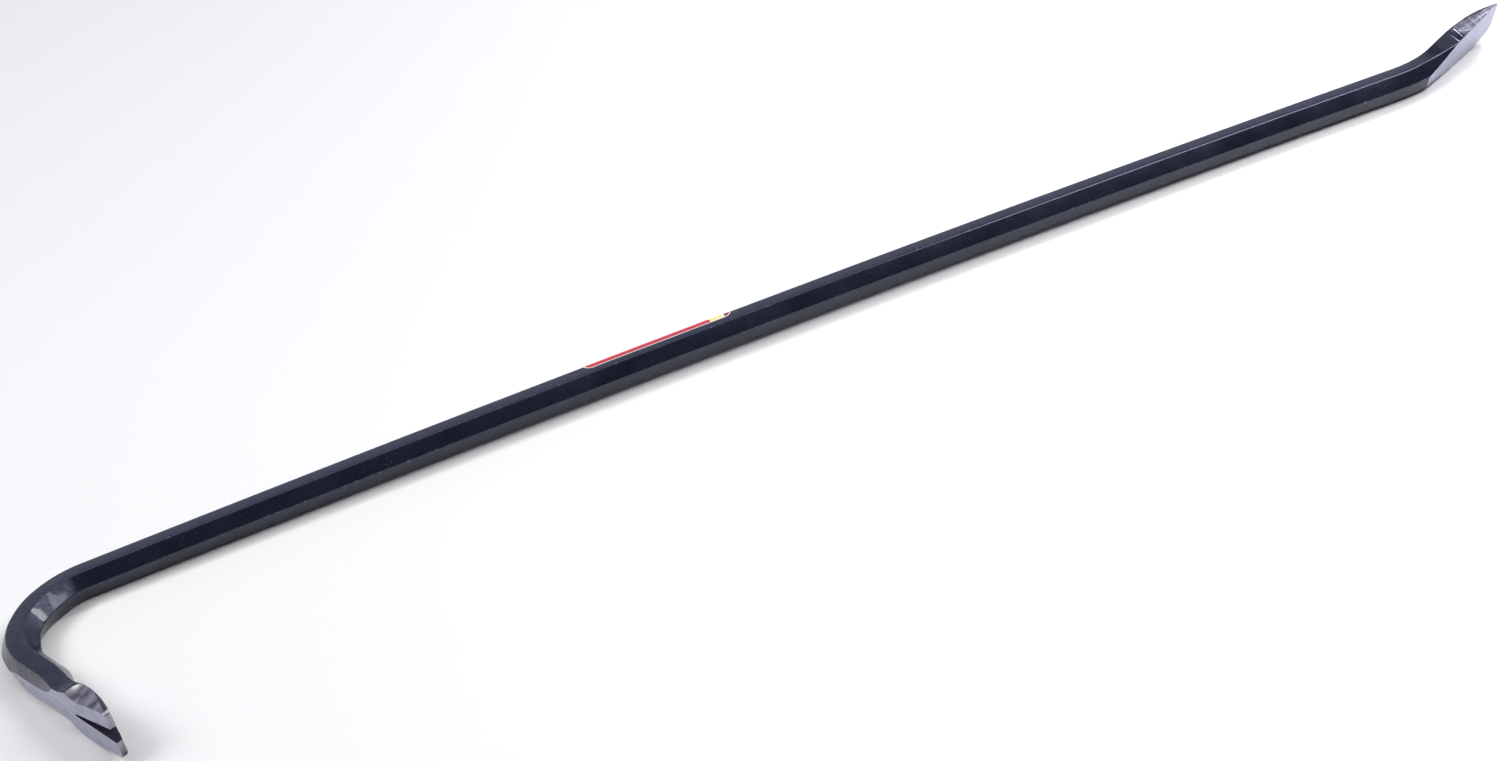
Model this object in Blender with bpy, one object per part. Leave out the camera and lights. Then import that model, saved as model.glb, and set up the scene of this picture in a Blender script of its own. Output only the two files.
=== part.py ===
"""Gooseneck pry bar forged in one piece from hexagon steel, with its printed label.

Metres, +Z up. The bar lies on its side as it does on a bench: the shaft runs along X, the hook
is at the low-X end and reaches towards -Y, and the chisel is at the high-X end. The origin is at
the middle of the footprint, on the surface that the bar lies on.

The bar is lofted along its centre line. A frame on that line has x along the bar towards the
chisel, y away from the hook's side, and z across the bar's width, so a section is a list of
(y, z) corners. The ground faces and the nail slot are then cut into the forging.
"""

import math

import bmesh
import bpy
from mathutils import Matrix, Vector

MM = 0.001

# Stock and shaft
FLATS = 15.9 * MM
CORNER_ROUND = 1.5 * MM
OVERALL = 914.0 * MM
SHAFT_BOW = math.radians(2.5)

# Hook: the bend, and the straight arm that carries the claw. The bar sat in the bending die
# with its flats turned by HOOK_ROLL, so the hook's plane runs nearly through two ridges.
HOOK_RADIUS = 40.2 * MM
HOOK_TURN = math.radians(113.7)
HOOK_ROLL = math.radians(26.0)
ARM_LENGTH = 88.2 * MM
THROAT_BULGE = 2.0 * MM
RIDGE_BULGE = 1.2 * MM
BULGE_RUN = 20.0 * MM

# Heel: the lower outer corner of the arm, forged out between these distances from the tip
HEEL_FILL_START = 114.0 * MM
HEEL_FILLED = 80.0 * MM
HEEL_CORNER_OUT = 7.9 * MM
HEEL_CORNER_HALF_WIDTH = 11.2 * MM
HEEL_SIDE_OUT = 2.5 * MM
HEEL_SIDE_HALF_WIDTH = 10.6 * MM
HEEL_RIDGE_OUT = 8.5 * MM
HEEL_RIDGE_BELOW = 3.5 * MM

# Claw, drawn out of the arm: it thickens outwards first, then flares to its full width. Its own
# axis is a little askew to the arm.
CLAW_SKEW = math.radians(4.9)
CLAW_OFFSET = 0.5 * MM
OUTER_START = 70.0 * MM
OUTER_FORMED = 42.0 * MM
FLARE_START = 50.0 * MM
FLARE_FORMED = 33.0 * MM
CLAW_HALF_WIDTH = 14.4 * MM
CLAW_OUTER = 8.6 * MM
CLAW_INNER_AT_TIP = 3.7 * MM
CLAW_INNER_DEEPEST = -2.1 * MM
CLAW_THINNING = 34.0 * MM
CLAW_CROWN = 0.8 * MM
CLAW_CROWN_RATIO = 0.45
TIP_ROUND = 2.5 * MM

# Ground faces and the nail slot of the claw
HEEL_AT_TIP = 6.9 * MM
HEEL_SLOPE = 0.008
SIDE_GRIND_TILT = math.radians(20.0)
SIDE_GRIND_FLARE = 0.115
SIDE_GRIND_AT_TIP = 13.9 * MM
SIDE_GRIND_LENGTH = 41.5 * MM
SLOT_LENGTH = 36.5 * MM
SLOT_WIDTH_AT_TIP = 8.8 * MM
SLOT_ROOT_RADIUS = 0.8 * MM

# Chisel: a short bend away from the hook's side, then a blade ground flat on one face
CHISEL_TURN = math.radians(17.0)
CHISEL_RADIUS = 110.0 * MM
BLADE_LENGTH = 50.0 * MM
BLADE_DRAW_OUT = 62.0 * MM
BLADE_FORMED = 32.0 * MM
BLADE_HALF_WIDTH = 12.0 * MM
BLADE_BACK_CURVE = 27.0 * MM
BLADE_BACK_AT_EDGE = 3.0 * MM
BLADE_UPPER_ROUND = 0.8 * MM
BLADE_LOWER_ROUND = 7.0 * MM
BEVEL_LENGTH = 65.5 * MM
EDGE_THICKNESS = 0.8 * MM

# Label: a thin printed film wrapped over the outer flat of the shaft
LABEL_LENGTH = 87.0 * MM
LABEL_WIDTH = 18.4 * MM
LABEL_THICKNESS = 0.15 * MM
LABEL_GAP = 0.30 * MM
LABEL_CORNER = 5.0 * MM
LABEL_CENTRE = 326.7 * MM

# Attitude at rest on the side, about the shaft and then about Y
REST_ROLL = math.radians(21.5)
REST_PITCH = math.radians(-0.5)

CORNER_POINTS = 3
CUTTER_SIZE = 240.0 * MM


def clear_scene():
    for item in list(bpy.data.objects):
        bpy.data.objects.remove(item, do_unlink=True)


def new_collection(name):
    collection = bpy.data.collections.new(name)
    bpy.context.scene.collection.children.link(collection)
    return collection


def new_material(name, colour, roughness, metallic):
    material = bpy.data.materials.new(name)
    material.use_nodes = True
    shader = material.node_tree.nodes["Principled BSDF"]
    shader.inputs["Base Color"].default_value = (*colour, 1.0)
    shader.inputs["Roughness"].default_value = roughness
    shader.inputs["Metallic"].default_value = metallic
    return material


def smoothstep(value):
    value = min(max(value, 0.0), 1.0)
    return value * value * (3.0 - 2.0 * value)


# ---- centre line ------------------------------------------------------------------------------


def step(frame, length, turn=0.0):
    """The frame a signed length further along the bar, after turning about its own z."""
    if turn:
        radius = length / turn
        move = Vector((radius * math.sin(turn), radius * (1.0 - math.cos(turn)), 0.0))
    else:
        move = Vector((length, 0.0, 0.0))
    return frame @ Matrix.Translation(move) @ Matrix.Rotation(turn, 4, "Z")


def hook_frame():
    """Where the hook's bend meets the shaft, rolled into the hook's own plane."""
    return Matrix.Rotation(-HOOK_ROLL, 4, "X")


def arm_frame(from_tip):
    """A frame on the straight arm, this far back from the claw's tip."""
    bend_end = step(hook_frame(), -HOOK_RADIUS * HOOK_TURN, HOOK_TURN)
    return step(bend_end, from_tip - ARM_LENGTH)


def claw_frame():
    """At the middle of the claw's tip, on the claw's own axis."""
    askew = Matrix.Rotation(CLAW_SKEW, 4, "Y")
    return arm_frame(0.0) @ Matrix.Translation((0.0, 0.0, CLAW_OFFSET)) @ askew


def shaft_length():
    """Straight-line room that the two ends leave for the shaft inside the overall length."""
    blade_run = BLADE_LENGTH * math.cos(CHISEL_TURN - SHAFT_BOW)
    bend_run = CHISEL_RADIUS * math.sin(CHISEL_TURN)
    return OVERALL - (HOOK_RADIUS + FLATS / 2.0) - bend_run - blade_run


def shaft_frame(along):
    """A frame on the slightly bowed shaft, this far from the hook's bend."""
    return step(Matrix.Identity(4), along, -SHAFT_BOW * along / shaft_length())


def edge_frame(from_edge):
    """A frame on the chisel's bend or its blade, this far back from the cutting edge."""
    start = shaft_frame(shaft_length())
    bend_end = step(start, CHISEL_RADIUS * CHISEL_TURN, CHISEL_TURN)
    if from_edge <= BLADE_LENGTH:
        return step(bend_end, BLADE_LENGTH - from_edge)
    back = from_edge - BLADE_LENGTH
    return step(bend_end, -back, -back / CHISEL_RADIUS)


# ---- sections ---------------------------------------------------------------------------------


def stock_corners(roll=0.0):
    """The hexagon's corners, anticlockwise from the one above the outer flat.

    The sixth lies half-way along the flat below the outer one. It is a corner only in the arm.
    """
    reach = FLATS / math.sqrt(3.0)
    angles = [math.radians(30.0 + 60.0 * corner) + roll for corner in range(6)]
    corners = [Vector((reach * math.cos(angle), reach * math.sin(angle))) for angle in angles]
    corners.insert(5, corners[4].lerp(corners[5], 0.5))
    return corners


def blended(first, second, out_amount, width_amount):
    """Corners between two sections, moved separately outwards and across the width."""
    return [
        Vector(
            (
                start.x + (end.x - start.x) * out_amount,
                start.y + (end.y - start.y) * width_amount,
            )
        )
        for start, end in zip(first, second)
    ]


def arm_stock_corners(from_tip):
    """The rolled hexagon of the hook: swollen in the bend, and filled out behind the claw."""
    corners = stock_corners(HOOK_ROLL)
    into_bend = from_tip - ARM_LENGTH
    left = HOOK_RADIUS * HOOK_TURN - into_bend
    swollen = smoothstep(into_bend / BULGE_RUN) * smoothstep(left / BULGE_RUN)
    corners[2].x -= THROAT_BULGE * swollen
    corners[3].x -= THROAT_BULGE * swollen
    corners[6].x += RIDGE_BULGE * swollen
    amount = smoothstep((HEEL_FILL_START - from_tip) / (HEEL_FILL_START - HEEL_FILLED))
    side = Vector((HEEL_SIDE_OUT, -HEEL_SIDE_HALF_WIDTH))
    heel = Vector((HEEL_CORNER_OUT, -HEEL_CORNER_HALF_WIDTH))
    corners[4] = corners[4].lerp(side, amount)
    corners[5] = corners[5].lerp(heel, amount)
    corners[6] = corners[6].lerp(Vector((HEEL_RIDGE_OUT, -HEEL_RIDGE_BELOW)), amount)
    return corners


def rounding(distance, radius):
    """How far a corner of this radius has pulled in at this distance from the end."""
    if distance >= radius:
        return 0.0
    return radius - math.sqrt(radius**2 - (radius - distance) ** 2)


def claw_corners(from_tip):
    """The arm's section: the rolled hexagon, drawn out into a wide, thinning claw."""
    half_width = CLAW_HALF_WIDTH - rounding(from_tip, TIP_ROUND)
    thinned = max(1.0 - from_tip / CLAW_THINNING, 0.0) ** 2
    inner = CLAW_INNER_DEEPEST + (CLAW_INNER_AT_TIP - CLAW_INNER_DEEPEST) * thinned
    crown = inner - CLAW_CROWN * (1.0 - thinned)
    upper = [
        Vector((CLAW_OUTER, half_width)),
        Vector((inner, half_width)),
        Vector((crown, CLAW_CROWN_RATIO * half_width)),
    ]
    lower = [Vector((corner.x, -corner.y)) for corner in reversed(upper)]
    claw = upper + lower + [Vector((CLAW_OUTER, 0.0))]
    middle = CLAW_OFFSET - from_tip * math.tan(CLAW_SKEW)
    claw = [Vector((corner.x, corner.y + middle)) for corner in claw]
    out_amount = smoothstep((OUTER_START - from_tip) / (OUTER_START - OUTER_FORMED))
    width_amount = smoothstep((FLARE_START - from_tip) / (FLARE_START - FLARE_FORMED))
    return blended(arm_stock_corners(from_tip), claw, out_amount, width_amount)


def blade_corners(from_edge):
    """The chisel's section: the hexagon, spread sideways, its back rounding down to the edge."""
    near_edge = max(1.0 - from_edge / BLADE_BACK_CURVE, 0.0)
    back = FLATS / 2.0 - (FLATS / 2.0 - BLADE_BACK_AT_EDGE) * near_edge**2
    upper = BLADE_HALF_WIDTH - rounding(from_edge, BLADE_UPPER_ROUND)
    lower = BLADE_HALF_WIDTH - rounding(from_edge, BLADE_LOWER_ROUND)
    blade = [
        Vector((back, upper)),
        Vector((-FLATS / 4.0, upper)),
        Vector((-FLATS / 2.0, 0.75 * upper)),
        Vector((-FLATS / 2.0, -0.75 * lower)),
        Vector((-FLATS / 4.0, -lower)),
        Vector((back / 2.0 - FLATS / 8.0, -lower)),
        Vector((back, -lower)),
    ]
    amount = smoothstep((BLADE_DRAW_OUT - from_edge) / (BLADE_DRAW_OUT - BLADE_FORMED))
    return blended(stock_corners(), blade, amount, amount)


def rounded(corners):
    """The outline through these corners, each one rounded by CORNER_ROUND where it has room."""
    outline = []
    for index, corner in enumerate(corners):
        to_last = corners[index - 1] - corner
        to_next = corners[(index + 1) % len(corners)] - corner
        turn = math.pi - to_last.angle(to_next)
        cut = max(CORNER_ROUND * math.tan(turn / 2.0), CORNER_ROUND / 6.0)
        cut = min(cut, 0.4 * to_last.length, 0.4 * to_next.length)
        start = corner + to_last.normalized() * cut
        end = corner + to_next.normalized() * cut
        for point in range(CORNER_POINTS):
            amount = point / (CORNER_POINTS - 1.0)
            outline.append(start.lerp(corner, amount).lerp(corner.lerp(end, amount), amount))
    return outline


# ---- solids -----------------------------------------------------------------------------------


def placed(frame, outline):
    return [frame @ Vector((0.0, corner.x, corner.y)) for corner in outline]


def new_object(name, mesh_builder, collection, material=None):
    mesh = bpy.data.meshes.new(name)
    bmesh.ops.recalc_face_normals(mesh_builder, faces=mesh_builder.faces)
    mesh_builder.to_mesh(mesh)
    mesh_builder.free()
    item = bpy.data.objects.new(name, mesh)
    collection.objects.link(item)
    if material:
        mesh.materials.append(material)
    return item


def loft(rings):
    """A closed skin through rings of equally many points, with a flat cap on each end."""
    builder = bmesh.new()
    loops = [[builder.verts.new(point) for point in ring] for ring in rings]
    for last, following in zip(loops, loops[1:]):
        for index in range(len(last)):
            beside = (index + 1) % len(last)
            builder.faces.new((last[index], last[beside], following[beside], following[index]))
    builder.faces.new(loops[0])
    builder.faces.new(reversed(loops[-1]))
    return builder


def spread(start, end, count):
    """count + 1 evenly spaced values from start to end."""
    return [start + (end - start) * index / count for index in range(count + 1)]


def forging_rings():
    """Every section of the bar, from the claw's tip to the chisel's edge."""
    rings = []
    for from_tip in [0.0, 0.1 * TIP_ROUND, 0.4 * TIP_ROUND] + spread(TIP_ROUND, ARM_LENGTH, 34):
        rings.append(placed(arm_frame(from_tip), rounded(claw_corners(from_tip))))
    for turn in spread(HOOK_TURN, 0.0, 30)[1:-1]:
        frame = step(hook_frame(), -HOOK_RADIUS * turn, turn)
        from_tip = ARM_LENGTH + HOOK_RADIUS * (HOOK_TURN - turn)
        rings.append(placed(frame, rounded(arm_stock_corners(from_tip))))
    shaft_section = rounded(stock_corners())
    for along in spread(0.0, shaft_length(), 12):
        rings.append(placed(shaft_frame(along), shaft_section))
    blade_start = BLADE_LENGTH + CHISEL_RADIUS * CHISEL_TURN
    edge_steps = [0.4 * BLADE_UPPER_ROUND, 0.1 * BLADE_UPPER_ROUND, 0.0]
    for from_edge in spread(blade_start, BLADE_UPPER_ROUND, 34)[1:] + edge_steps:
        rings.append(placed(edge_frame(from_edge), rounded(blade_corners(from_edge))))
    return rings


def block_on(frame, size, name, collection):
    """A cutting block whose lower face is centred on the frame's own xy plane."""
    builder = bmesh.new()
    lift = Matrix.Translation((0.0, 0.0, size / 2.0))
    bmesh.ops.create_cube(builder, size=size, matrix=frame @ lift)
    return new_object(name, builder, collection)


def facing(point, along, normal):
    """A frame at the point with z on the normal and x as near to along as it can be."""
    z_axis = normal.normalized()
    y_axis = z_axis.cross(along).normalized()
    x_axis = y_axis.cross(z_axis)
    frame = Matrix((x_axis, y_axis, z_axis)).transposed().to_4x4()
    frame.translation = point
    return frame


def heel_block(collection):
    """Grinds the claw's outer face flat, from its tip back into the bend."""
    plane = facing(
        Vector((0.0, HEEL_AT_TIP, 0.0)), Vector((1.0, HEEL_SLOPE, 0.0)), Vector((-HEEL_SLOPE, 1.0, 0.0))
    )
    return block_on(arm_frame(0.0) @ plane, CUTTER_SIZE, "heel_grinding_block", collection)


def side_block(collection):
    """Grinds the claw's upper long edge, leaning in towards the outer face."""
    plane = facing(
        Vector((0.0, HEEL_AT_TIP, SIDE_GRIND_AT_TIP)),
        Vector((1.0, 0.0, -SIDE_GRIND_FLARE)),
        Vector((SIDE_GRIND_FLARE, math.tan(SIDE_GRIND_TILT), 1.0)),
    )
    size = 2.0 * SIDE_GRIND_LENGTH
    return block_on(claw_frame() @ plane, size, "side_grinding_block", collection)


def slot_wedge(collection):
    """The V of the nail slot, with a rounded root, running past both faces of the claw."""
    root = SLOT_LENGTH - SLOT_ROOT_RADIUS
    half_angle = math.atan2(SLOT_WIDTH_AT_TIP / 2.0 - SLOT_ROOT_RADIUS, root)
    outline = []
    for angle in spread(math.pi / 2.0 - half_angle, half_angle - math.pi / 2.0, 6):
        reach = SLOT_ROOT_RADIUS
        outline.append((root + reach * math.cos(angle), reach * math.sin(angle)))
    mouth = -SLOT_LENGTH / 2.0
    half_mouth = outline[0][1] + (outline[0][0] - mouth) * math.tan(half_angle)
    outline += [(mouth, -half_mouth), (mouth, half_mouth)]
    builder = bmesh.new()
    frame = claw_frame()
    verts = [builder.verts.new(frame @ Vector((x, -FLATS, z))) for x, z in outline]
    face = builder.faces.new(verts)
    grown = bmesh.ops.extrude_face_region(builder, geom=[face])["geom"]
    top = [item for item in grown if isinstance(item, bmesh.types.BMVert)]
    across = frame.to_3x3() @ Vector((0.0, 2.0 * FLATS, 0.0))
    bmesh.ops.translate(builder, verts=top, vec=across)
    return new_object("nail_slot_wedge", builder, collection)


def bevel_block(collection):
    """Grinds the chisel's long flat, from the inner flat down to the cutting edge."""
    heel = edge_frame(BEVEL_LENGTH) @ Vector((0.0, -FLATS / 2.0, 0.0))
    edge = edge_frame(0.0) @ Vector((0.0, BLADE_BACK_AT_EDGE - EDGE_THICKNESS, 0.0))
    along = edge - heel
    plane = facing(edge, along, along.cross(Vector((0.0, 0.0, 1.0))))
    return block_on(plane, CUTTER_SIZE, "chisel_grinding_block", collection)


def cut(item, cutter):
    cutter.hide_render = True
    cutter.display_type = "WIRE"
    modifier = item.modifiers.new(cutter.name, "BOOLEAN")
    modifier.operation = "DIFFERENCE"
    modifier.object = cutter


def build_bar(collection, cutters):
    enamel = new_material("navy_black_enamel", (0.012, 0.014, 0.026), 0.22, 0.0)
    bar = new_object("forged_bar", loft(forging_rings()), collection, enamel)
    for cutter in (
        heel_block(cutters),
        side_block(cutters),
        slot_wedge(cutters),
        bevel_block(cutters),
    ):
        cut(bar, cutter)
    bar.data.shade_smooth()
    bar.data.set_sharp_from_angle(angle=math.radians(30.0))
    return bar


# ---- label ------------------------------------------------------------------------------------


def on_skin(around, clear):
    """The section point this far round the skin from the outer flat's middle, and clear of it."""
    flat_half = FLATS / (2.0 * math.sqrt(3.0)) - CORNER_ROUND * math.tan(math.radians(30.0))
    side = math.copysign(1.0, around)
    beyond = abs(around) - flat_half
    if beyond <= 0.0:
        return Vector((FLATS / 2.0 + clear, around))
    angle = min(beyond / CORNER_ROUND, math.radians(60.0))
    rest = beyond - CORNER_ROUND * angle
    reach = CORNER_ROUND + clear
    out = FLATS / 2.0 - CORNER_ROUND + reach * math.cos(angle) - rest * math.sin(angle)
    up = flat_half + reach * math.sin(angle) + rest * math.cos(angle)
    return Vector((out, side * up))


def label_half_width(from_middle):
    """Half the label's width at this distance from its middle, narrowing at round corners."""
    into_corner = from_middle - (LABEL_LENGTH / 2.0 - LABEL_CORNER)
    if into_corner <= 0.0:
        return LABEL_WIDTH / 2.0
    return LABEL_WIDTH / 2.0 - LABEL_CORNER + math.sqrt(LABEL_CORNER**2 - into_corner**2)


def build_label(collection):
    film = new_material("printed_label", (0.62, 0.03, 0.05), 0.35, 0.0)
    straight = LABEL_LENGTH / 2.0 - LABEL_CORNER
    corner = [straight + LABEL_CORNER * math.sin(angle) for angle in spread(0.0, math.pi / 2.0, 5)]
    half = spread(0.0, straight, 3)[:-1] + corner
    rings = []
    for offset in [-value for value in reversed(half[1:])] + half:
        half_width = label_half_width(abs(offset))
        around = spread(-half_width, half_width, 12)
        outer = [on_skin(value, LABEL_GAP + LABEL_THICKNESS) for value in around]
        inner = [on_skin(value, LABEL_GAP) for value in reversed(around)]
        rings.append(placed(shaft_frame(LABEL_CENTRE + offset), outer + inner))
    label = new_object("label", loft(rings), collection, film)
    label.data.shade_smooth()
    label.data.set_sharp_from_angle(angle=math.radians(30.0))
    return label


# ---- assembly ---------------------------------------------------------------------------------


def lay_down(items, bar):
    """Lays everything on its side, with the middle of the bar's footprint at the origin."""
    attitude = bpy.data.objects.new("lying_attitude", None)
    bpy.context.scene.collection.objects.link(attitude)
    for item in items:
        item.parent = attitude
    turn = Matrix.Rotation(REST_PITCH, 4, "Y") @ Matrix.Rotation(REST_ROLL, 4, "X")
    attitude.matrix_world = turn
    bpy.context.view_layer.update()
    evaluated = bar.evaluated_get(bpy.context.evaluated_depsgraph_get())
    points = [evaluated.matrix_world @ vertex.co for vertex in evaluated.data.vertices]
    low = Vector([min(point[axis] for point in points) for axis in range(3)])
    high = Vector([max(point[axis] for point in points) for axis in range(3)])
    base = Vector(((low.x + high.x) / 2.0, (low.y + high.y) / 2.0, low.z))
    attitude.matrix_world = Matrix.Translation(-base) @ turn


def main():
    clear_scene()
    pry_bar = new_collection("pry_bar")
    cutters = new_collection("cutters")
    bar = build_bar(pry_bar, cutters)
    label = build_label(pry_bar)
    lay_down([bar, label] + list(cutters.objects), bar)


main()
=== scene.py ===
"""The visual model of a gooseneck pry bar: its enamelled forging, ground faces and printed label.

Metres, +Z up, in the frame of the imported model. The bar's shape repeats the CAD's own sections on
a finer grid, in a frame at the start of the shaft, and BAR_TO_ROW lays it down as the CAD lies.
"""

import math

import bmesh
import bpy
from mathutils import Matrix, Vector, noise


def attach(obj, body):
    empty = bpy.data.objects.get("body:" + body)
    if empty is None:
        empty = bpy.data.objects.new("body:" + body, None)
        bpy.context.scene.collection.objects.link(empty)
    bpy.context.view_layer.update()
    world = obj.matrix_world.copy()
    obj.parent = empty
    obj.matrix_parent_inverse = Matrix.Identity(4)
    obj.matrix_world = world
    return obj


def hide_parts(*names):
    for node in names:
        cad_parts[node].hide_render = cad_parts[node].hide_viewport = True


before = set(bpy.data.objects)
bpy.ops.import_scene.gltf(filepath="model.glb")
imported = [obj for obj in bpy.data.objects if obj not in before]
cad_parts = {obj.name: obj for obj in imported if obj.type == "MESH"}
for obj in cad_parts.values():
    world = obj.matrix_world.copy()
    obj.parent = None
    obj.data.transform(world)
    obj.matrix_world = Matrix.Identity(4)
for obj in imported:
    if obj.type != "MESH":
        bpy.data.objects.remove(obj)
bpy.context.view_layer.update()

MM = 0.001

# ---- dimensions ---------------------------------------------------------------------------------

FLATS = 15.9 * MM
CORNER_ROUND = 1.5 * MM
OVERALL = 914.0 * MM
SHAFT_BOW = math.radians(2.5)

HOOK_RADIUS = 40.2 * MM
HOOK_TURN = math.radians(113.7)
HOOK_ROLL = math.radians(26.0)
ARM_LENGTH = 88.2 * MM
THROAT_BULGE = 2.0 * MM
RIDGE_BULGE = 1.2 * MM
BULGE_RUN = 20.0 * MM

HEEL_FILL_START = 114.0 * MM
HEEL_FILLED = 80.0 * MM
HEEL_CORNER_OUT = 7.9 * MM
HEEL_CORNER_HALF_WIDTH = 11.2 * MM
HEEL_SIDE_OUT = 2.5 * MM
HEEL_SIDE_HALF_WIDTH = 10.6 * MM
HEEL_RIDGE_OUT = 8.5 * MM
HEEL_RIDGE_BELOW = 3.5 * MM

CLAW_SKEW = math.radians(4.9)
CLAW_OFFSET = 0.5 * MM
OUTER_START = 70.0 * MM
OUTER_FORMED = 42.0 * MM
FLARE_START = 50.0 * MM
FLARE_FORMED = 33.0 * MM
CLAW_HALF_WIDTH = 14.4 * MM
CLAW_OUTER = 8.6 * MM
CLAW_INNER_AT_TIP = 3.7 * MM
CLAW_INNER_DEEPEST = -2.1 * MM
CLAW_THINNING = 34.0 * MM
CLAW_CROWN = 0.8 * MM
CLAW_CROWN_RATIO = 0.45
TIP_ROUND = 2.5 * MM
TIP_GROUND = 0.6 * MM

HEEL_AT_TIP = 6.9 * MM
HEEL_SLOPE = 0.008
SIDE_GRIND_TILT = math.radians(20.0)
SIDE_GRIND_FLARE = 0.115
SIDE_GRIND_AT_TIP = 13.9 * MM
SIDE_FLAT_LENGTH = 29.5 * MM
SIDE_WHEEL_RADIUS = 16.0 * MM
SIDE_MIDDLE = -5.5 * MM
SIDE_CROWN = 0.11 / MM
SLOT_LENGTH = 36.5 * MM
SLOT_WIDTH_AT_TIP = 8.8 * MM
SLOT_ROOT_RADIUS = 0.8 * MM

CHISEL_TURN = math.radians(17.0)
CHISEL_RADIUS = 110.0 * MM
BLADE_LENGTH = 50.0 * MM
BLADE_DRAW_OUT = 62.0 * MM
BLADE_FORMED = 32.0 * MM
BLADE_HALF_WIDTH = 12.0 * MM
BLADE_BACK_CURVE = 27.0 * MM
BLADE_BACK_AT_EDGE = 3.0 * MM
BLADE_UPPER_ROUND = 0.8 * MM
BLADE_LOWER_ROUND = 7.0 * MM
BLADE_INNER_SHARE = 0.75
BEVEL_LENGTH = 65.5 * MM
EDGE_THICKNESS = 0.8 * MM
BLADE_GRIND_LENGTH = 28.3 * MM
BLADE_GRIND_SLOPE = 1.6
BLADE_WHEEL_RADIUS = 14.0 * MM
BLADE_GRIND_DEPTH = 0.12 * MM
GRIND_HALF_WIDTH = 14.0 * MM
WHEEL_TURN = math.radians(70.0)

HOOK_DENT = 0.25 * MM
BLADE_DENT = 0.18 * MM
DENT_RUN = 20.0 * MM
TIP_UNDENTED = 12.0 * MM
EDGE_UNDENTED = 14.0 * MM
DENTS_ALONG = 70.0
DENTS_ACROSS = 90.0

LABEL_LENGTH = 87.0 * MM
LABEL_WIDTH = 18.4 * MM
LABEL_THICKNESS = 0.15 * MM
LABEL_GAP = 0.05 * MM
LABEL_CORNER = 5.0 * MM
LABEL_CENTRE = 326.7 * MM
LABEL_BAND_START = 74.1 * MM
LABEL_BAND_END = 81.8 * MM
LABEL_BAND_GAP = 0.9 * MM
LABEL_BORDER = 0.55 * MM

# Points on each rounded corner, and sections along each stretch of the bar.
CORNER_POINTS = 6
CLAW_STEPS = 64
HOOK_STEPS = 64
SHAFT_STEPS = 48
BLADE_STEPS = 84
WHEEL_STEPS = 24

CUTTER_SIZE = 240.0 * MM
CUTTER_ROOM = 40.0 * MM
HEXAGON_TURN = math.radians(60.0)
BAR_SHARP_ANGLE = math.radians(24.0)
LABEL_SHARP_ANGLE = math.radians(30.0)

BAR_TO_ROW = (
    Matrix.Translation((-407.619 * MM, 65.746 * MM, 8.650 * MM))
    @ Matrix.Rotation(math.radians(-0.5), 4, "Y")
    @ Matrix.Rotation(math.radians(21.5), 4, "X")
)


def smoothstep(value):
    value = min(max(value, 0.0), 1.0)
    return value * value * (3.0 - 2.0 * value)


# ---- centre line --------------------------------------------------------------------------------


def step(place, length, turn=0.0):
    """The frame a signed length further along the bar, after turning about its own z."""
    if turn:
        radius = length / turn
        move = Vector((radius * math.sin(turn), radius * (1.0 - math.cos(turn)), 0.0))
    else:
        move = Vector((length, 0.0, 0.0))
    return place @ Matrix.Translation(move) @ Matrix.Rotation(turn, 4, "Z")


def hook_frame():
    return Matrix.Rotation(-HOOK_ROLL, 4, "X")


def arm_frame(from_tip):
    bend_end = step(hook_frame(), -HOOK_RADIUS * HOOK_TURN, HOOK_TURN)
    return step(bend_end, from_tip - ARM_LENGTH)


def claw_frame():
    askew = Matrix.Rotation(CLAW_SKEW, 4, "Y")
    return arm_frame(0.0) @ Matrix.Translation((0.0, 0.0, CLAW_OFFSET)) @ askew


def shaft_length():
    blade_run = BLADE_LENGTH * math.cos(CHISEL_TURN - SHAFT_BOW)
    bend_run = CHISEL_RADIUS * math.sin(CHISEL_TURN)
    return OVERALL - (HOOK_RADIUS + FLATS / 2.0) - bend_run - blade_run


def shaft_frame(along):
    return step(Matrix.Identity(4), along, -SHAFT_BOW * along / shaft_length())


def edge_frame(from_edge):
    start = shaft_frame(shaft_length())
    bend_end = step(start, CHISEL_RADIUS * CHISEL_TURN, CHISEL_TURN)
    if from_edge <= BLADE_LENGTH:
        return step(bend_end, BLADE_LENGTH - from_edge)
    back = from_edge - BLADE_LENGTH
    return step(bend_end, -back, -back / CHISEL_RADIUS)


# ---- sections -----------------------------------------------------------------------------------


def stock_corners(roll=0.0):
    reach = FLATS / math.sqrt(3.0)
    angles = [math.radians(30.0 + 60.0 * corner) + roll for corner in range(6)]
    corners = [Vector((reach * math.cos(angle), reach * math.sin(angle))) for angle in angles]
    corners.insert(5, corners[4].lerp(corners[5], 0.5))
    return corners


def blended(first, second, out_amount, width_amount):
    return [
        Vector(
            (
                start.x + (end.x - start.x) * out_amount,
                start.y + (end.y - start.y) * width_amount,
            )
        )
        for start, end in zip(first, second)
    ]


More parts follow.
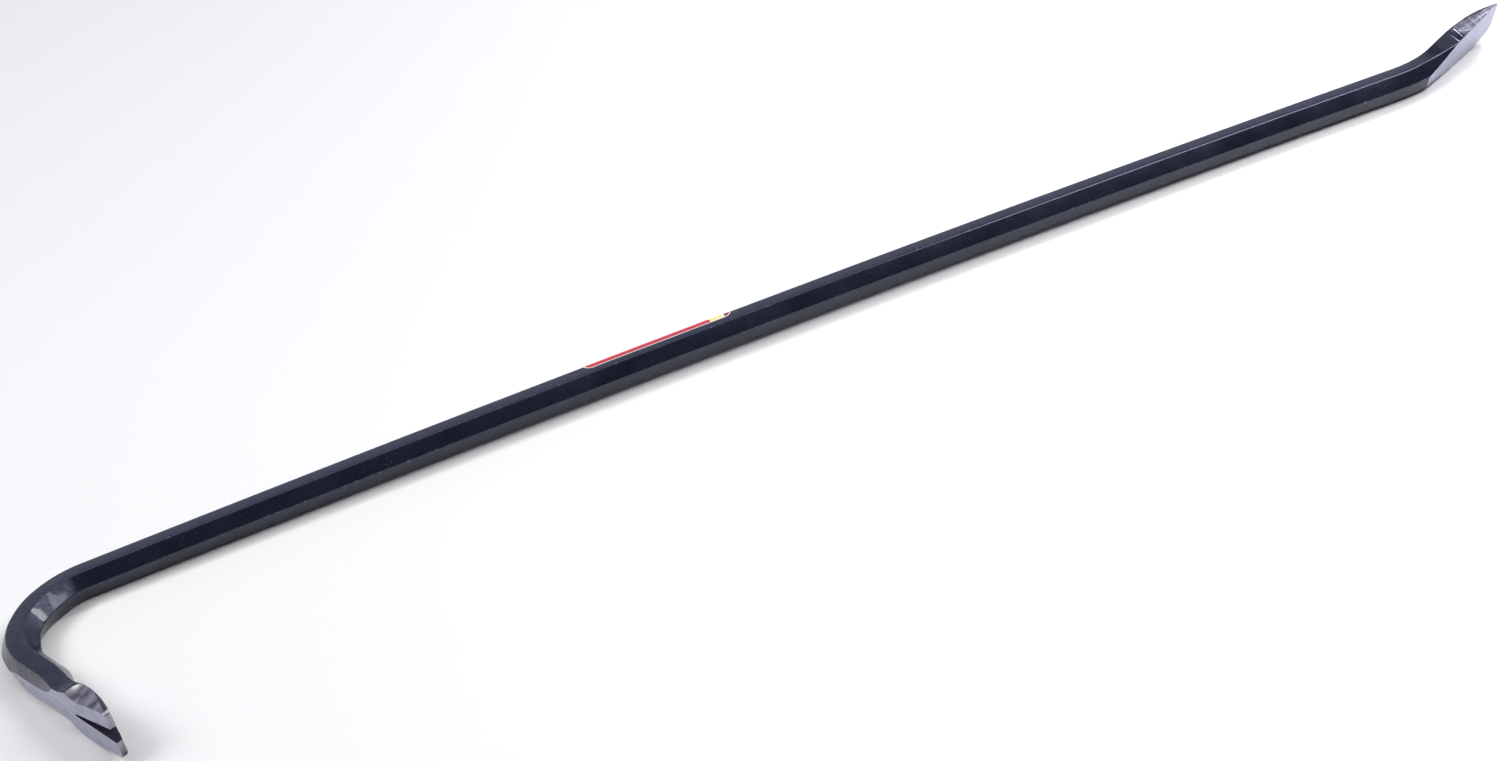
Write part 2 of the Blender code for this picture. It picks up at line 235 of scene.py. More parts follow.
def arm_stock_corners(from_tip):
    """The rolled hexagon of the hook: swollen in the bend, and filled out behind the claw."""
    corners = stock_corners(HOOK_ROLL)
    into_bend = from_tip - ARM_LENGTH
    left = HOOK_RADIUS * HOOK_TURN - into_bend
    swollen = smoothstep(into_bend / BULGE_RUN) * smoothstep(left / BULGE_RUN)
    corners[2].x -= THROAT_BULGE * swollen
    corners[3].x -= THROAT_BULGE * swollen
    corners[6].x += RIDGE_BULGE * swollen
    amount = smoothstep((HEEL_FILL_START - from_tip) / (HEEL_FILL_START - HEEL_FILLED))
    side = Vector((HEEL_SIDE_OUT, -HEEL_SIDE_HALF_WIDTH))
    heel = Vector((HEEL_CORNER_OUT, -HEEL_CORNER_HALF_WIDTH))
    corners[4] = corners[4].lerp(side, amount)
    corners[5] = corners[5].lerp(heel, amount)
    corners[6] = corners[6].lerp(Vector((HEEL_RIDGE_OUT, -HEEL_RIDGE_BELOW)), amount)
    return corners


def rounding(distance, radius):
    if distance >= radius:
        return 0.0
    return radius - math.sqrt(radius**2 - (radius - distance) ** 2)


def claw_corners(from_tip):
    """The arm's section: the rolled hexagon, drawn out into a wide, thinning claw."""
    half_width = CLAW_HALF_WIDTH - rounding(from_tip, TIP_ROUND)
    thinned = max(1.0 - from_tip / CLAW_THINNING, 0.0) ** 2
    inner = CLAW_INNER_DEEPEST + (CLAW_INNER_AT_TIP - CLAW_INNER_DEEPEST) * thinned
    crown = inner - CLAW_CROWN * (1.0 - thinned)
    upper = [
        Vector((CLAW_OUTER, half_width)),
        Vector((inner, half_width)),
        Vector((crown, CLAW_CROWN_RATIO * half_width)),
    ]
    lower = [Vector((corner.x, -corner.y)) for corner in reversed(upper)]
    claw = upper + lower + [Vector((CLAW_OUTER, 0.0))]
    middle = CLAW_OFFSET - from_tip * math.tan(CLAW_SKEW)
    claw = [Vector((corner.x, corner.y + middle)) for corner in claw]
    out_amount = smoothstep((OUTER_START - from_tip) / (OUTER_START - OUTER_FORMED))
    width_amount = smoothstep((FLARE_START - from_tip) / (FLARE_START - FLARE_FORMED))
    return blended(arm_stock_corners(from_tip), claw, out_amount, width_amount)


def blade_corners(from_edge):
    """The chisel's section: the hexagon, spread sideways, its back rounding down to the edge."""
    near_edge = max(1.0 - from_edge / BLADE_BACK_CURVE, 0.0)
    back = FLATS / 2.0 - (FLATS / 2.0 - BLADE_BACK_AT_EDGE) * near_edge**2
    upper = BLADE_HALF_WIDTH - rounding(from_edge, BLADE_UPPER_ROUND)
    lower = BLADE_HALF_WIDTH - rounding(from_edge, BLADE_LOWER_ROUND)
    blade = [
        Vector((back, upper)),
        Vector((-FLATS / 4.0, upper)),
        Vector((-FLATS / 2.0, BLADE_INNER_SHARE * upper)),
        Vector((-FLATS / 2.0, -BLADE_INNER_SHARE * lower)),
        Vector((-FLATS / 4.0, -lower)),
        Vector((back / 2.0 - FLATS / 8.0, -lower)),
        Vector((back, -lower)),
    ]
    amount = smoothstep((BLADE_DRAW_OUT - from_edge) / (BLADE_DRAW_OUT - BLADE_FORMED))
    return blended(stock_corners(), blade, amount, amount)


def rounded(corners):
    """The outline through these corners, each one rounded by CORNER_ROUND where it has room."""
    least_cut, most_of_side = CORNER_ROUND / 6.0, 0.4
    outline = []
    for index, corner in enumerate(corners):
        to_last = corners[index - 1] - corner
        to_next = corners[(index + 1) % len(corners)] - corner
        turn = math.pi - to_last.angle(to_next)
        reach = max(CORNER_ROUND * math.tan(turn / 2.0), least_cut)
        reach = min(reach, most_of_side * to_last.length, most_of_side * to_next.length)
        start = corner + to_last.normalized() * reach
        end = corner + to_next.normalized() * reach
        for point in range(CORNER_POINTS):
            amount = point / (CORNER_POINTS - 1.0)
            outline.append(start.lerp(corner, amount).lerp(corner.lerp(end, amount), amount))
    return outline


# ---- meshes -------------------------------------------------------------------------------------


def placed(place, outline):
    return [place @ Vector((0.0, corner.x, corner.y)) for corner in outline]


def new_object(name, builder, material):
    """An object from the bmesh, with its normals outwards. It uses the bmesh up."""
    mesh = bpy.data.meshes.new(name)
    bmesh.ops.recalc_face_normals(builder, faces=builder.faces)
    builder.to_mesh(mesh)
    builder.free()
    item = bpy.data.objects.new(name, mesh)
    bpy.context.scene.collection.objects.link(item)
    mesh.materials.append(material)
    return item


def loft(rings):
    """A closed skin through rings of equally many points, with a flat cap on each end."""
    builder = bmesh.new()
    loops = [[builder.verts.new(point) for point in ring] for ring in rings]
    for last, following in zip(loops, loops[1:]):
        for index in range(len(last)):
            beside = (index + 1) % len(last)
            builder.faces.new((last[index], last[beside], following[beside], following[index]))
    builder.faces.new(loops[0])
    builder.faces.new(reversed(loops[-1]))
    return builder


def spread(start, end, count):
    return [start + (end - start) * index / count for index in range(count + 1)]


def hammered(place, outline, distance, depth):
    """A section dented inwards by up to depth, as the dies and the hammer leave it."""
    dented = []
    for corner in outline:
        spot = Vector((distance * DENTS_ALONG, corner.x * DENTS_ACROSS, corner.y * DENTS_ACROSS))
        dent = depth * smoothstep(0.5 + 0.5 * noise.noise(spot))
        dented.append(corner * (1.0 - dent / max(corner.length, FLATS / 4.0)))
    return placed(place, dented)


def forging_rings():
    """Every section of the bar, from the claw's tip to the chisel's edge."""
    rings = []
    tip = [0.0, 0.1 * TIP_ROUND, 0.25 * TIP_ROUND, 0.4 * TIP_ROUND, 0.7 * TIP_ROUND]
    for from_tip in tip + spread(TIP_ROUND, ARM_LENGTH, CLAW_STEPS):
        depth = HOOK_DENT * smoothstep((from_tip - TIP_UNDENTED) / DENT_RUN)
        outline = rounded(claw_corners(from_tip))
        rings.append(hammered(arm_frame(from_tip), outline, from_tip, depth))
    for turn in spread(HOOK_TURN, 0.0, HOOK_STEPS)[1:-1]:
        place = step(hook_frame(), -HOOK_RADIUS * turn, turn)
        from_tip = ARM_LENGTH + HOOK_RADIUS * (HOOK_TURN - turn)
        depth = HOOK_DENT * smoothstep(HOOK_RADIUS * turn / DENT_RUN)
        outline = rounded(arm_stock_corners(from_tip))
        rings.append(hammered(place, outline, from_tip, depth))
    shaft_section = rounded(stock_corners())
    for along in spread(0.0, shaft_length(), SHAFT_STEPS):
        rings.append(placed(shaft_frame(along), shaft_section))
    blade_start = BLADE_LENGTH + CHISEL_RADIUS * CHISEL_TURN
    edge_steps = [0.4 * BLADE_UPPER_ROUND, 0.1 * BLADE_UPPER_ROUND, 0.0]
    for from_edge in spread(blade_start, BLADE_UPPER_ROUND, BLADE_STEPS)[1:] + edge_steps:
        swell = smoothstep((blade_start - from_edge) / DENT_RUN)
        fade = smoothstep((from_edge - EDGE_UNDENTED) / DENT_RUN)
        outline = rounded(blade_corners(from_edge))
        depth = BLADE_DENT * swell * fade
        rings.append(hammered(edge_frame(from_edge), outline, from_edge, depth))
    return rings


def block_on(place, name, material):
    """A cube that stands on the frame's xy plane."""
    builder = bmesh.new()
    lift = Matrix.Translation((0.0, 0.0, CUTTER_SIZE / 2.0))
    bmesh.ops.create_cube(builder, size=CUTTER_SIZE, matrix=place @ lift)
    return new_object(name, builder, material)


def facing(point, along, normal):
    """A frame at the point with z on the normal and x as near to along as it can be."""
    z_axis = normal.normalized()
    y_axis = z_axis.cross(along).normalized()
    x_axis = y_axis.cross(z_axis)
    place = Matrix((x_axis, y_axis, z_axis)).transposed().to_4x4()
    place.translation = point
    return place


def heel_plane():
    """The ground heel: the claw's outer face, running back from its tip towards the bend."""
    return arm_frame(0.0) @ facing(
        Vector((0.0, HEEL_AT_TIP, 0.0)),
        Vector((1.0, HEEL_SLOPE, 0.0)),
        Vector((-HEEL_SLOPE, 1.0, 0.0)),
    )


def side_plane():
    """The facet ground on the claw's upper side, which faces partly outwards."""
    return claw_frame() @ facing(
        Vector((0.0, HEEL_AT_TIP, SIDE_GRIND_AT_TIP)),
        Vector((1.0, 0.0, -SIDE_GRIND_FLARE)),
        Vector((SIDE_GRIND_FLARE, math.tan(SIDE_GRIND_TILT), 1.0)),
    )


def bevel_plane():
    """The chisel's long bevel, from the face opposite its back to the cutting edge."""
    start = edge_frame(BEVEL_LENGTH) @ Vector((0.0, -FLATS / 2.0, 0.0))
    edge = edge_frame(0.0) @ Vector((0.0, BLADE_BACK_AT_EDGE - EDGE_THICKNESS, 0.0))
    along = edge - start
    return facing(edge, along, along.cross(Vector((0.0, 0.0, 1.0))))


def blade_side_plane():
    """Just under the skin of the chisel's upper side, with x towards the cutting edge."""
    level = BLADE_HALF_WIDTH - BLADE_GRIND_DEPTH
    return edge_frame(0.0) @ facing(
        Vector((0.0, 0.0, level)), Vector((1.0, 0.0, 0.0)), Vector((0.0, 0.0, 1.0))
    )


def prism(place, outline, low, high, name, material):
    """A closed prism whose outline lies in the frame's xz plane, running along its y."""
    builder = bmesh.new()
    near = [builder.verts.new(place @ Vector((x, low, z))) for x, z in outline]
    far = [builder.verts.new(place @ Vector((x, high, z))) for x, z in outline]
    builder.faces.new(near)
    builder.faces.new(reversed(far))
    for index in range(len(outline)):
        beside = (index + 1) % len(outline)
        builder.faces.new((near[index], far[index], far[beside], near[beside]))
    return new_object(name, builder, material)


def grinding_pass(place, length_at, radius, sign, name, material):
    """A wheel's pass over the frame's xy plane: flat as far as length_at(y), then lifting off.

    It runs towards +x for a sign of 1, and towards -x for -1.
    """
    rings = []
    for y in spread(-GRIND_HALF_WIDTH, GRIND_HALF_WIDTH, WHEEL_STEPS):
        outline = [(-sign * CUTTER_ROOM, CUTTER_ROOM), (-sign * CUTTER_ROOM, 0.0), (0.0, 0.0)]
        for angle in spread(0.0, WHEEL_TURN, WHEEL_STEPS):
            run = length_at(y) + radius * math.sin(angle)
            outline.append((sign * run, radius * (1.0 - math.cos(angle))))
        outline.append((outline[-1][0], CUTTER_ROOM))
        rings.append([place @ Vector((x, y, z)) for x, z in outline])
    return new_object(name, loft(rings), material)


def slot_outline():
    """The nail slot's V, from its rounded root to well past the claw's tip."""
    root = SLOT_LENGTH - SLOT_ROOT_RADIUS
    half_angle = math.atan2(SLOT_WIDTH_AT_TIP / 2.0 - SLOT_ROOT_RADIUS, root)
    outline = []
    for angle in spread(math.pi / 2.0 - half_angle, half_angle - math.pi / 2.0, 14):
        along, across = math.cos(angle), math.sin(angle)
        outline.append((root + SLOT_ROOT_RADIUS * along, SLOT_ROOT_RADIUS * across))
    mouth = -SLOT_LENGTH / 2.0
    half_mouth = outline[0][1] + (outline[0][0] - mouth) * math.tan(half_angle)
    return outline + [(mouth, -half_mouth), (mouth, half_mouth)]


def cut(item, cutter):
    modifier = item.modifiers.new(cutter.name, "BOOLEAN")
    modifier.operation = "DIFFERENCE"
    modifier.solver = "EXACT"
    modifier.object = cutter
    modifier.material_mode = "TRANSFER"


def finished(item, cutters, name, sharp_angle):
    """The item with its cuts made, laid down in the row frame, as one plain mesh."""
    bpy.context.view_layer.update()
    shape = item.evaluated_get(bpy.context.evaluated_depsgraph_get())
    mesh = bpy.data.meshes.new_from_object(shape)
    mesh.name = name
    mesh.transform(BAR_TO_ROW)
    mesh.shade_smooth()
    mesh.set_sharp_from_angle(angle=sharp_angle)
    for helper in [item] + cutters:
        bpy.data.objects.remove(helper, do_unlink=True)
    piece = bpy.data.objects.new(name, mesh)
    bpy.context.scene.collection.objects.link(piece)
    return piece


# ---- node helpers -------------------------------------------------------------------------------


class Nodes:
    """Short names for the nodes that the materials share."""

    def __init__(self, name):
        self.material = bpy.data.materials.new(name)
        self.material.use_nodes = True
        self.tree = self.material.node_tree
        self.shader = self.tree.nodes["Principled BSDF"]

    def new(self, kind, values=(), **settings):
        """A node with these settings, and each input set to its value or linked to its socket."""
        node = self.tree.nodes.new(kind)
        for key, value in settings.items():
            setattr(node, key, value)
        for socket, value in dict(values).items():
            if isinstance(value, bpy.types.NodeSocket):
                self.tree.links.new(value, node.inputs[socket])
            else:
                node.inputs[socket].default_value = value
        return node

    def place(self, at=None, stretch=(1.0, 1.0, 1.0)):
        """Object coordinates in a frame's own axes, multiplied by stretch along each."""
        coords = self.new("ShaderNodeTexCoord").outputs["Object"]
        if at is not None:
            row = BAR_TO_ROW @ at
            values = {"Vector": coords, "Location": row.translation, "Rotation": row.to_euler()}
            coords = self.new("ShaderNodeMapping", values, vector_type="TEXTURE").outputs["Vector"]
        values = {0: coords, 1: stretch}
        return self.new("ShaderNodeVectorMath", values, operation="MULTIPLY").outputs["Vector"]

    def noise(self, vector, scale, detail=3.0, rough=0.5):
        values = {"Vector": vector, "Scale": scale, "Detail": detail, "Roughness": rough}
        return self.new("ShaderNodeTexNoise", values).outputs["Fac"]

    def ramp(self, value, start, end, low=0.0, high=1.0):
        """Low below start, high above end, and in proportion between them."""
        values = {"Value": value, "From Min": start, "From Max": end, "To Min": low, "To Max": high}
        return self.new("ShaderNodeMapRange", values).outputs["Result"]

    def math(self, operation, first, second=0.0, third=0.0):
        values = {0: first, 1: second, 2: third}
        return self.new("ShaderNodeMath", values, operation=operation).outputs["Value"]

    def mix(self, amount, first, second):
        """The two colours mixed. A Mix node's colours are its inputs 6 and 7, and its output 2."""
        values = {0: amount, 6: first, 7: second}
        return self.new("ShaderNodeMix", values, data_type="RGBA").outputs[2]

    def split(self, vector):
        return self.new("ShaderNodeSeparateXYZ", {"Vector": vector}).outputs

    def bump(self, height, distance, strength, over=None):
        values = {"Height": height, "Distance": distance, "Strength": strength}
        if over is not None:
            values["Normal"] = over
        return self.new("ShaderNodeBump", values).outputs["Normal"]

    def finish(self, colour, roughness, normal, **fixed):
        for socket, value in (("Base Color", colour), ("Roughness", roughness), ("Normal", normal)):
            self.tree.links.new(value, self.shader.inputs[socket])
        for name, value in fixed.items():
            self.shader.inputs[name.replace("_", " ")].default_value = value
        return self.material


def rgb(red, green, blue):
    return (red, green, blue, 1.0)


# ---- materials ----------------------------------------------------------------------------------


def enamel_material():
    """Dipped navy-black enamel: uneven gloss and specks, thin on ridges, over forging scale."""
    black, navy = rgb(0.005, 0.007, 0.015), rgb(0.009, 0.010, 0.024)
    thin, bare, dust = rgb(0.05, 0.055, 0.085), rgb(0.20, 0.21, 0.26), rgb(0.42, 0.45, 0.55)
    nodes = Nodes("navy_black_enamel")
    coords = nodes.place()
    cloud = nodes.noise(coords, 45.0, 3.0)
    grain = nodes.noise(coords, 900.0, 4.0, 0.6)
    specks = nodes.ramp(nodes.noise(coords, 1900.0, 2.0, 0.5), 0.70, 0.78)
    speck_zone = nodes.ramp(nodes.noise(coords, 60.0, 2.0), 0.50, 0.66)
    specks = nodes.math("MULTIPLY", specks, speck_zone)
    base = nodes.mix(nodes.ramp(cloud, 0.3, 0.7), black, navy)
    worn = nodes.new("ShaderNodeAttribute", attribute_name="ridge").outputs["Fac"]
    chips = nodes.ramp(nodes.noise(coords, 420.0, 5.0, 0.7), 0.60, 0.68)
    chips = nodes.math("MULTIPLY", chips, worn)
    rubbed = nodes.mix(nodes.math("MULTIPLY", worn, 0.35), base, thin)
    chipped = nodes.mix(chips, rubbed, bare)
    colour = nodes.mix(nodes.math("MULTIPLY", specks, 0.8), chipped, dust)
    roughness = nodes.ramp(cloud, 0.3, 0.7, 0.17, 0.27)
    roughness = nodes.math("MULTIPLY_ADD", grain, 0.06, roughness)
    forged = nodes.new("ShaderNodeAttribute", attribute_name="forged").outputs["Fac"]
    pits = nodes.math("MULTIPLY", nodes.noise(coords, 260.0, 6.0, 0.72), forged)
    pitted = nodes.bump(pits, 1.6 * MM, 0.35)
    peel = nodes.bump(nodes.noise(coords, 420.0, 2.0, 0.4), 0.10 * MM, 0.45, pitted)
    scale = nodes.bump(nodes.noise(coords, 85.0, 3.0, 0.5), 0.9 * MM, 0.30, peel)
    relief = nodes.math("MAXIMUM", specks, nodes.math("MULTIPLY", chips, -1.0))
    normal = nodes.bump(relief, 0.12 * MM, 0.6, scale)
    return nodes.finish(
        colour,
        roughness,
        normal,
        Coat_Weight=0.2,
        Coat_Roughness=0.08,
        Specular_IOR_Level=0.55,
        Specular_Tint=(0.66, 0.72, 1.0, 1.0),
    )


def steel_material(name, at, tone, marks, cross, spots=0.4, rough=(0.30, 0.46)):
    """Ground steel, in the frame at. Its tone is its light, middle and dark colour.

    Marks are grinding lines a metre, and cross runs them over the face and not along it.
    """
    nodes = Nodes(name)
    along, bands_a_metre = 12.0, marks * 0.22
    fine = (marks, along, along) if cross else (along, marks, along)
    coarse = (bands_a_metre, along, along) if cross else (along * 0.4, bands_a_metre, along)
    scratch = nodes.noise(nodes.place(at, fine), 1.0, 4.0, 0.65)
    bands = nodes.noise(nodes.place(at, coarse), 1.0, 2.0, 0.5)
    cloud = nodes.noise(nodes.place(at), 110.0, 3.0)
    mottle = nodes.noise(nodes.place(at), 520.0, 4.0, 0.6)
    light, mid, dark = tone
    colour = nodes.mix(nodes.ramp(bands, 0.32, 0.68), rgb(*mid), rgb(*light))
    colour = nodes.mix(nodes.ramp(scratch, 0.60, 0.78), colour, rgb(*dark))
    stain = nodes.math("MULTIPLY", nodes.ramp(cloud, 0.50, 0.72), spots)
    colour = nodes.mix(stain, colour, rgb(*dark))
    roughness = nodes.ramp(nodes.math("MULTIPLY_ADD", mottle, 0.5, scratch), 0.4, 1.0, *rough)
    grooves = nodes.bump(scratch, 0.10 * MM, 0.55)
    normal = nodes.bump(bands, 0.25 * MM, 0.35, grooves)
    return nodes.finish(colour, roughness, normal, Metallic=0.9, Specular_IOR_Level=0.5)


def label_material():
    """A printed vinyl label: a red field, a yellow band, a dark end and a white border."""
    nodes = Nodes("printed_label")
    spot = nodes.split(nodes.new("ShaderNodeUVMap", uv_map="printed").outputs["UV"])
    along, across = spot["X"], spot["Y"]
    coords = nodes.place()
    wander = nodes.ramp(nodes.noise(coords, 300.0, 2.0), 0.0, 1.0, -0.2 * MM, 0.2 * MM)
    along = nodes.math("ADD", along, wander)
    tint = nodes.noise(coords, 160.0, 3.0)
    red = nodes.mix(tint, rgb(0.60, 0.018, 0.035), rgb(0.50, 0.012, 0.028))
    yellow = nodes.mix(tint, rgb(0.84, 0.72, 0.22), rgb(0.90, 0.80, 0.36))
    end = rgb(0.30, 0.015, 0.035)
    white = nodes.mix(tint, rgb(0.80, 0.79, 0.80), rgb(0.88, 0.87, 0.88))
    colour = nodes.mix(nodes.math("GREATER_THAN", along, LABEL_BAND_START), red, yellow)
    colour = nodes.mix(nodes.math("GREATER_THAN", along, LABEL_BAND_END), colour, white)
    end_start = LABEL_BAND_END + LABEL_BAND_GAP
    colour = nodes.mix(nodes.math("GREATER_THAN", along, end_start), colour, end)
    colour = nodes.mix(nodes.math("LESS_THAN", across, LABEL_BORDER), colour, white)
    scuff = nodes.ramp(nodes.noise(coords, 700.0, 5.0, 0.7), 0.66, 0.74)
    colour = nodes.mix(nodes.math("MULTIPLY", scuff, 0.5), colour, rgb(0.72, 0.62, 0.62))
    roughness = nodes.ramp(nodes.noise(coords, 500.0, 3.0), 0.3, 0.7, 0.28, 0.42)
    normal = nodes.bump(nodes.noise(coords, 120.0, 2.0, 0.4), 0.6 * MM, 0.25)
    return nodes.finish(colour, roughness, normal, Coat_Weight=0.25, Coat_Roughness=0.15)


def floor_material():
    nodes = Nodes("pale_floor")
    coords = nodes.place()
    cloud = nodes.noise(coords, 1.5, 2.0)
    colour = nodes.mix(cloud, rgb(0.86, 0.86, 0.87), rgb(0.90, 0.90, 0.90))
    roughness = nodes.ramp(cloud, 0.3, 0.7, 0.75, 0.85)
    normal = nodes.bump(nodes.noise(coords, 400.0, 2.0), 0.05 * MM, 0.1)
    return nodes.finish(colour, roughness, normal)


# ---- the pieces ---------------------------------------------------------------------------------

# The light, middle and dark colour of each ground face.
GREY_STEEL = ((0.50, 0.50, 0.62), (0.38, 0.38, 0.50), (0.22, 0.22, 0.30))
DULL_STEEL = ((0.48, 0.46, 0.52), (0.17, 0.16, 0.20), (0.03, 0.03, 0.04))
PALE_STEEL = ((0.48, 0.49, 0.62), (0.40, 0.41, 0.54), (0.29, 0.30, 0.41))
# The chisel side's steel is coloured near black, far darker than the other ground faces. This is
# painted shade for how dim that face looks, not the steel's own colour.
BLADE_STEEL_IN_PAINTED_SHADE = ((0.07, 0.07, 0.09), (0.03, 0.03, 0.045), (0.015, 0.015, 0.02))
DARK_STEEL = ((0.12, 0.12, 0.16), (0.07, 0.07, 0.10), (0.03, 0.03, 0.05))


def mark_wear(mesh, ring_points):
    """Stores ridge, where enamel wears off a rounded corner, and forged, where ends are pitted."""
    ridge = mesh.attributes.new("ridge", "FLOAT", "POINT")
    forged = mesh.attributes.new("forged", "FLOAT", "POINT")
    middle = (CORNER_POINTS - 1) / 2.0
    blade_start = OVERALL - BEVEL_LENGTH - HOOK_RADIUS
    for index, vertex in enumerate(mesh.vertices):
        point = index % ring_points % CORNER_POINTS
        ridge.data[index].value = max(1.0 - abs(point - middle) / middle, 0.0)
        hook = smoothstep(-vertex.co.x / (15.0 * MM))
        blade = smoothstep((vertex.co.x - blade_start) / (30.0 * MM))
        forged.data[index].value = max(hook, blade)


def side_length(y):
    """How far from the tip the wheel grinds the claw's side facet flat."""
    return SIDE_FLAT_LENGTH - SIDE_CROWN * (y - SIDE_MIDDLE) ** 2


def blade_length(y):
    """How far from the edge the wheel grinds the chisel's upper side flat."""
    return BLADE_GRIND_LENGTH + BLADE_GRIND_SLOPE * y


def build_bar():
    """The forging with its ground faces cut in, each in a steel of its own."""
    enamel = enamel_material()
    claw, heel, side = claw_frame(), heel_plane(), side_plane()
    bevel, blade_side = bevel_plane(), blade_side_plane()
    rings = forging_rings()
    bar = new_object("forging", loft(rings), enamel)
    mark_wear(bar.data, len(rings[0]))
    heel_steel = steel_material("heel_steel", heel, GREY_STEEL, 1500.0, False)
    side_steel = steel_material("claw_side_steel", side, DULL_STEEL, 900.0, True, 0.7, (0.22, 0.5))
    slot_steel = steel_material("slot_steel", claw, DARK_STEEL, 900.0, True)
    bevel_steel = steel_material("bevel_steel", bevel, PALE_STEEL, 1300.0, False, 0.25)
    # The chisel's upper side takes the near-black tone above, a painted shade.
    shaded_blade_steel = steel_material(
        "blade_side_painted_shade_steel", blade_side, BLADE_STEEL_IN_PAINTED_SHADE, 1000.0, True, 0.5, (0.22, 0.3)
    )
    tip_steel = steel_material("tip_steel", claw, DULL_STEEL, 900.0, False, 0.6)
    bar.data.materials.append(tip_steel)
    to_claw = claw.inverted()
    for face in bar.data.polygons:
        spot = to_claw @ face.center
        if spot.x < TIP_GROUND and spot.length < 2.0 * CLAW_HALF_WIDTH:
            face.material_index = 1
    cutters = [
        block_on(heel, "heel_grinding", heel_steel),
        grinding_pass(side, side_length, SIDE_WHEEL_RADIUS, 1.0, "side_grinding", side_steel),
        prism(claw, slot_outline(), -FLATS, FLATS, "slot_cutting", slot_steel),
        grinding_pass(
            blade_side, blade_length, BLADE_WHEEL_RADIUS, -1.0, "blade_grinding", shaded_blade_steel
        ),
        block_on(bevel, "bevel_grinding", bevel_steel),
    ]
    for cutter in cutters:
        cut(bar, cutter)
    piece = finished(bar, cutters, "forged_bar_finish", BAR_SHARP_ANGLE)
    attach(piece, "root")
    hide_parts("forged_bar")


def on_skin(around, clear):
    """The section point this far round the skin from the outer flat's middle, and clear of it."""
    flat_half = FLATS / (2.0 * math.sqrt(3.0)) - CORNER_ROUND * math.tan(HEXAGON_TURN / 2.0)
    side = math.copysign(1.0, around)
    beyond = abs(around) - flat_half
    if beyond <= 0.0:
        return Vector((FLATS / 2.0 + clear, around))
    angle = min(beyond / CORNER_ROUND, HEXAGON_TURN)
    rest = beyond - CORNER_ROUND * angle
    reach = CORNER_ROUND + clear
    out = FLATS / 2.0 - CORNER_ROUND + reach * math.cos(angle) - rest * math.sin(angle)
    up = flat_half + reach * math.sin(angle) + rest * math.cos(angle)
    return Vector((out, side * up))


def label_half_width(from_middle):
    """Half the film's width at this distance from its middle, less in its rounded corners."""
    into_corner = from_middle - (LABEL_LENGTH / 2.0 - LABEL_CORNER)
    if into_corner <= 0.0:
        return LABEL_WIDTH / 2.0
    return LABEL_WIDTH / 2.0 - LABEL_CORNER + math.sqrt(max(LABEL_CORNER**2 - into_corner**2, 0.0))


def build_label():
    """The film, with its print laid out in metres: along the bar, and in from its nearest edge."""
    straight = LABEL_LENGTH / 2.0 - LABEL_CORNER
    quarter = spread(0.0, math.pi / 2.0, 14)
    corner = [straight + LABEL_CORNER * math.sin(angle) for angle in quarter]
    half = spread(0.0, straight, 18)[:-1] + corner
    offsets = [-value for value in reversed(half[1:])] + half
    rings, print_spots = [], []
    for offset in offsets:
        half_width = label_half_width(abs(offset))
        around = spread(-half_width, half_width, 32)
        outer = [on_skin(value, LABEL_GAP + LABEL_THICKNESS) for value in around]
        inner = [on_skin(value, LABEL_GAP) for value in reversed(around)]
        rings.append(placed(shaft_frame(LABEL_CENTRE + offset), outer + inner))
        from_end = LABEL_LENGTH / 2.0 - abs(offset)
        for value in around + list(reversed(around)):
            inset = min(half_width - abs(value), from_end)
            if from_end < LABEL_CORNER and abs(value) > LABEL_WIDTH / 2.0 - LABEL_CORNER:
                side_in = abs(value) - (LABEL_WIDTH / 2.0 - LABEL_CORNER)
                inset = LABEL_CORNER - math.hypot(LABEL_CORNER - from_end, side_in)
            print_spots.append((offset + LABEL_LENGTH / 2.0, max(inset, 0.0)))
    label = new_object("film", loft(rings), label_material())
    printed = label.data.uv_layers.new(name="printed")
    for loop in label.data.loops:
        printed.data[loop.index].uv = print_spots[loop.vertex_index]
    piece = finished(label, [], "printed_label_finish", LABEL_SHARP_ANGLE)
    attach(piece, "root")
    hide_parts("label")


# ---- studio -------------------------------------------------------------------------------------


WHITE = (1.0, 1.0, 1.0)
PALE_BLUE = (0.70, 0.75, 1.0)
CAMERA_SPOT = Vector((-0.32920, -1.01585, 0.81016))
CAMERA_RIGHT = Vector((0.90872, -0.38047, -0.17166))
CAMERA_DOWN = Vector((-0.36082, -0.50930, -0.78130))
CAMERA_LENS = 60.0


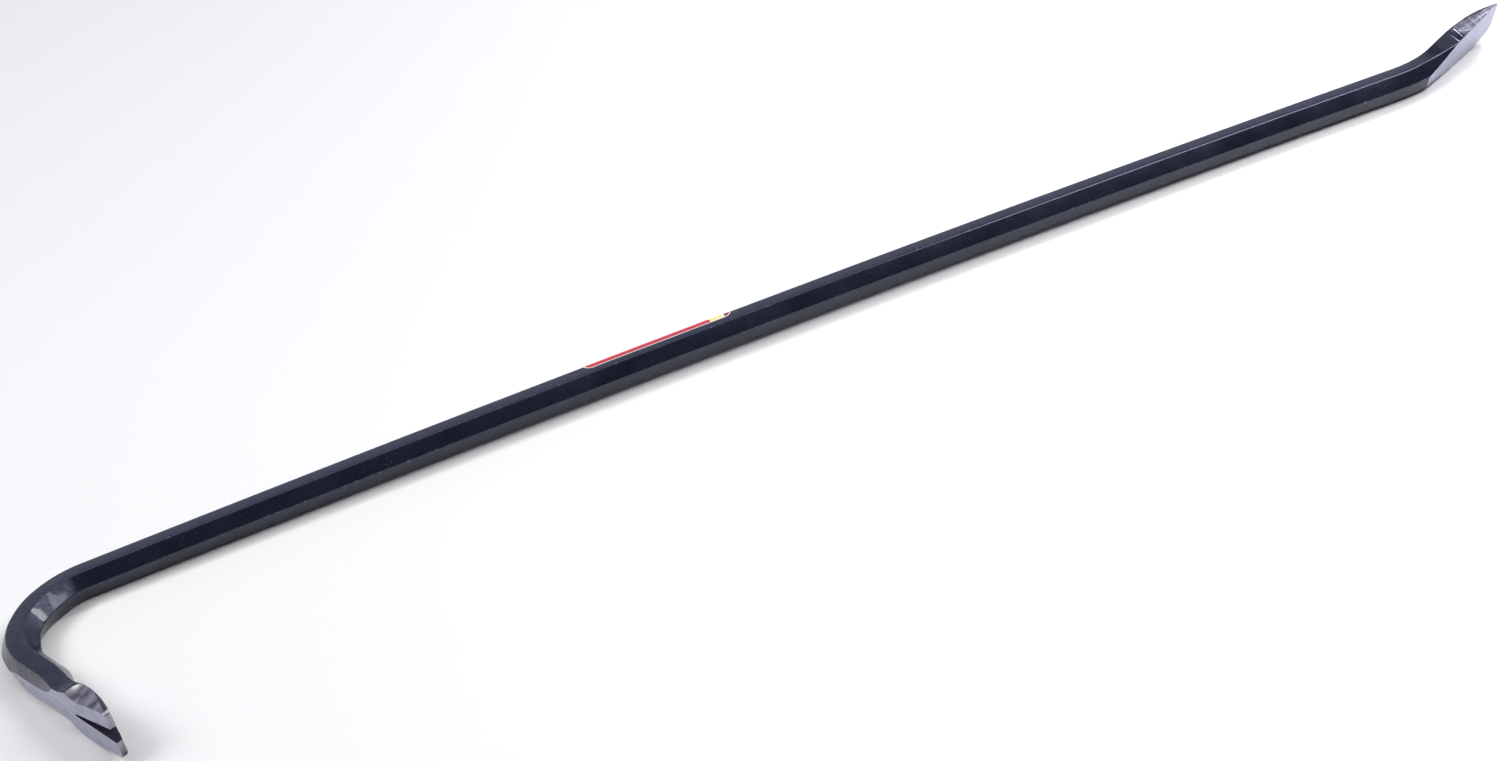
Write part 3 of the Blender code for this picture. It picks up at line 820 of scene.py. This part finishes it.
def build_camera():
    """The bar is seen from above its inner side, with the claw at the lower left."""
    right, down = CAMERA_RIGHT, CAMERA_DOWN
    forward = right.cross(down).normalized()
    down = forward.cross(right).normalized()
    data = bpy.data.cameras.new("camera")
    data.lens = CAMERA_LENS
    data.sensor_width = 36.0
    data.clip_start = 0.01
    camera = bpy.data.objects.new("camera", data)
    turn = Matrix((right.normalized(), -down, -forward)).transposed()
    camera.matrix_world = Matrix.Translation(CAMERA_SPOT) @ turn.to_4x4()
    bpy.context.scene.collection.objects.link(camera)
    bpy.context.scene.camera = camera


def soft_box(name, centre, towards, size, power, colour):
    data = bpy.data.lights.new(name, "AREA")
    data.shape = "RECTANGLE"
    data.size, data.size_y = size
    data.energy = power
    data.color = colour
    lamp = bpy.data.objects.new(name, data)
    aim = (Vector(towards) - Vector(centre)).to_track_quat("-Z", "Y")
    lamp.matrix_world = Matrix.Translation(centre) @ aim.to_matrix().to_4x4()
    bpy.context.scene.collection.objects.link(lamp)


def build_studio():
    """A pale floor just under the bar, soft boxes, and a faint light from all round."""
    builder = bmesh.new()
    bmesh.ops.create_grid(builder, x_segments=8, y_segments=8, size=6.0)
    floor = new_object("floor", builder, floor_material())
    floor.location.z = -0.2 * MM
    soft_box("streak", (0.87, -0.46, 1.3), (0.87, -0.46, 0.0), (0.75, 0.5), 17.0, WHITE)
    soft_box("left", (-1.5, 0.2, 1.6), (0.0, 0.0, 0.0), (1.0, 1.0), 16.0, WHITE)
    soft_box("ceiling", (-0.7, 0.3, 3.5), (-0.7, 0.3, 0.0), (3.5, 3.5), 37.0, WHITE)
    soft_box("far_side", (0.2, 2.6, 1.1), (0.2, 0.0, 0.9), (5.2, 2.0), 18.0, PALE_BLUE)
    soft_box("hook_patch", (1.35, 0.46, 1.12), (-0.43, 0.04, 0.01), (0.36, 0.40), 14.0, WHITE)
    world = bpy.data.worlds.new("studio")
    world.use_nodes = True
    background = world.node_tree.nodes["Background"]
    background.inputs["Color"].default_value = (0.92, 0.94, 1.0, 1.0)
    background.inputs["Strength"].default_value = 0.11
    bpy.context.scene.world = world
    bpy.context.scene.view_settings.view_transform = "Standard"


build_camera()
build_bar()
build_label()
build_studio()

bpy.context.view_layer.update()
